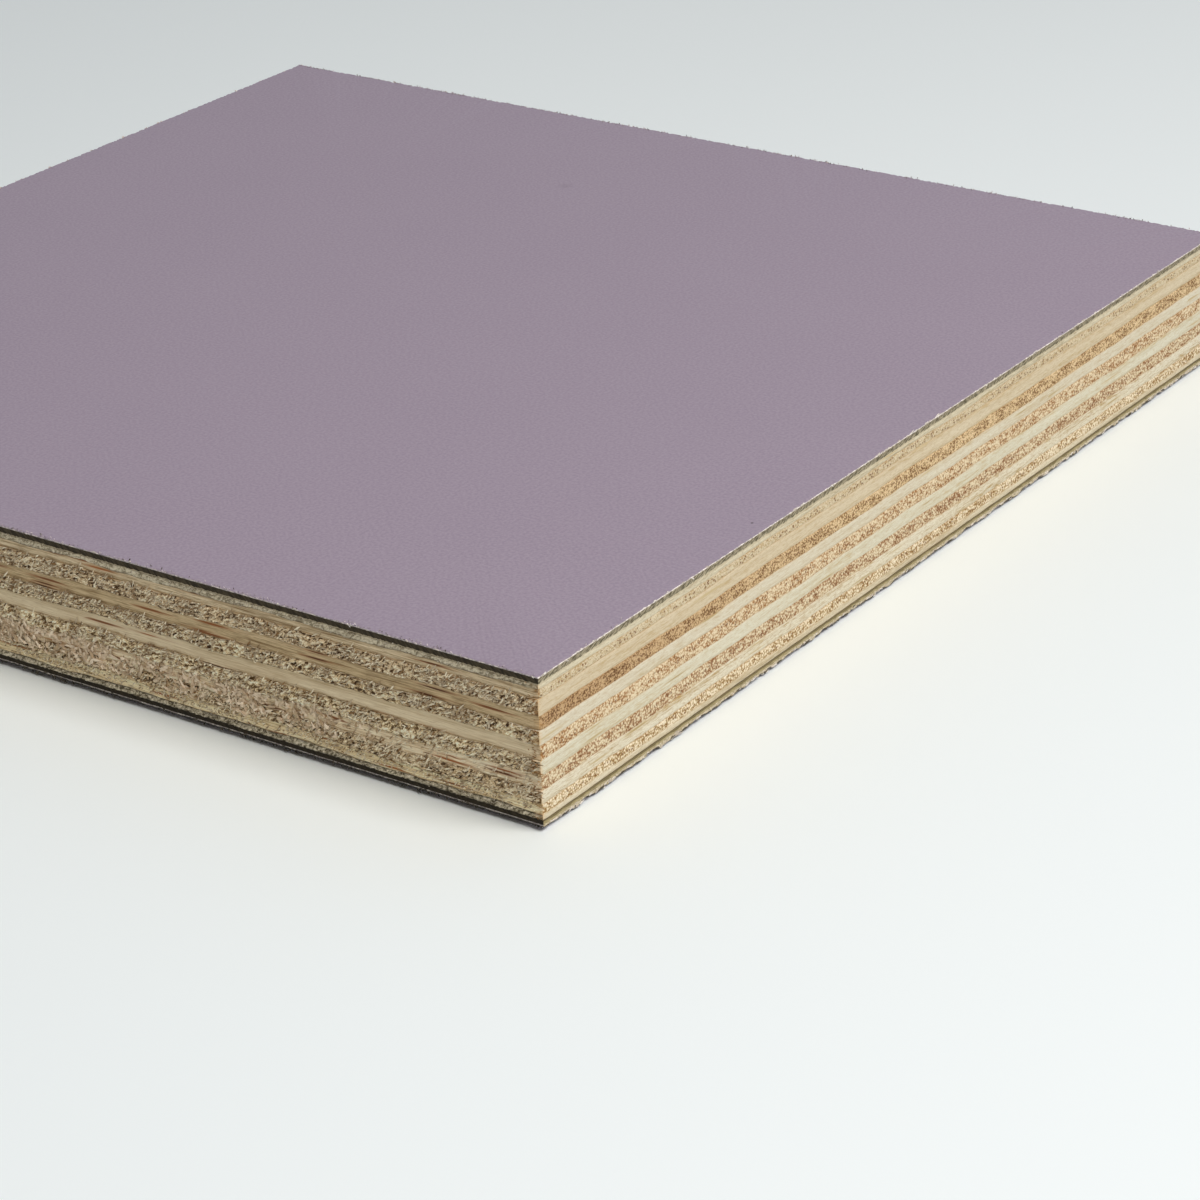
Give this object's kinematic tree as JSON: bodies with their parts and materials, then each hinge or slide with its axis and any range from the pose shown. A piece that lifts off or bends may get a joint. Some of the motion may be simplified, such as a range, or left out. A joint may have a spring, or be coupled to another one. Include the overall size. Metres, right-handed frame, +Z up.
{
  "type": "laminate-faced plywood sheet",
  "caption": "Flat square sheet of cross-banded plywood with a mauve laminate on both faces and bare sawn edges, for panels, shelves and furniture.",
  "frame": {"origin": "centre of the underside of the sheet, where it rests", "axes": "+Z up through the thickness, +X along the grain of the cross veneers, +Y along the grain of the face, long and back veneers"},
  "size_m": [0.15, 0.15, 0.0168],
  "materials": {
    "decor_laminate": "matt, very fine pearl texture, dark kraft core at the sawn edge",
    "long_veneer": "bare, sawn",
    "cross_veneer": "bare, sawn"
  },
  "bodies": {
    "root": {"laminate_top": "decor_laminate", "veneer_01_face": "long_veneer", "veneer_02_cross": "cross_veneer", "veneer_03_long": "long_veneer", "veneer_04_cross": "cross_veneer", "veneer_05_long": "long_veneer", "veneer_06_cross": "cross_veneer", "veneer_07_long": "long_veneer", "veneer_08_cross": "cross_veneer", "veneer_09_long": "long_veneer", "veneer_10_cross": "cross_veneer", "veneer_11_back": "long_veneer", "laminate_bottom": "decor_laminate"}
  },
  "joints": []
}
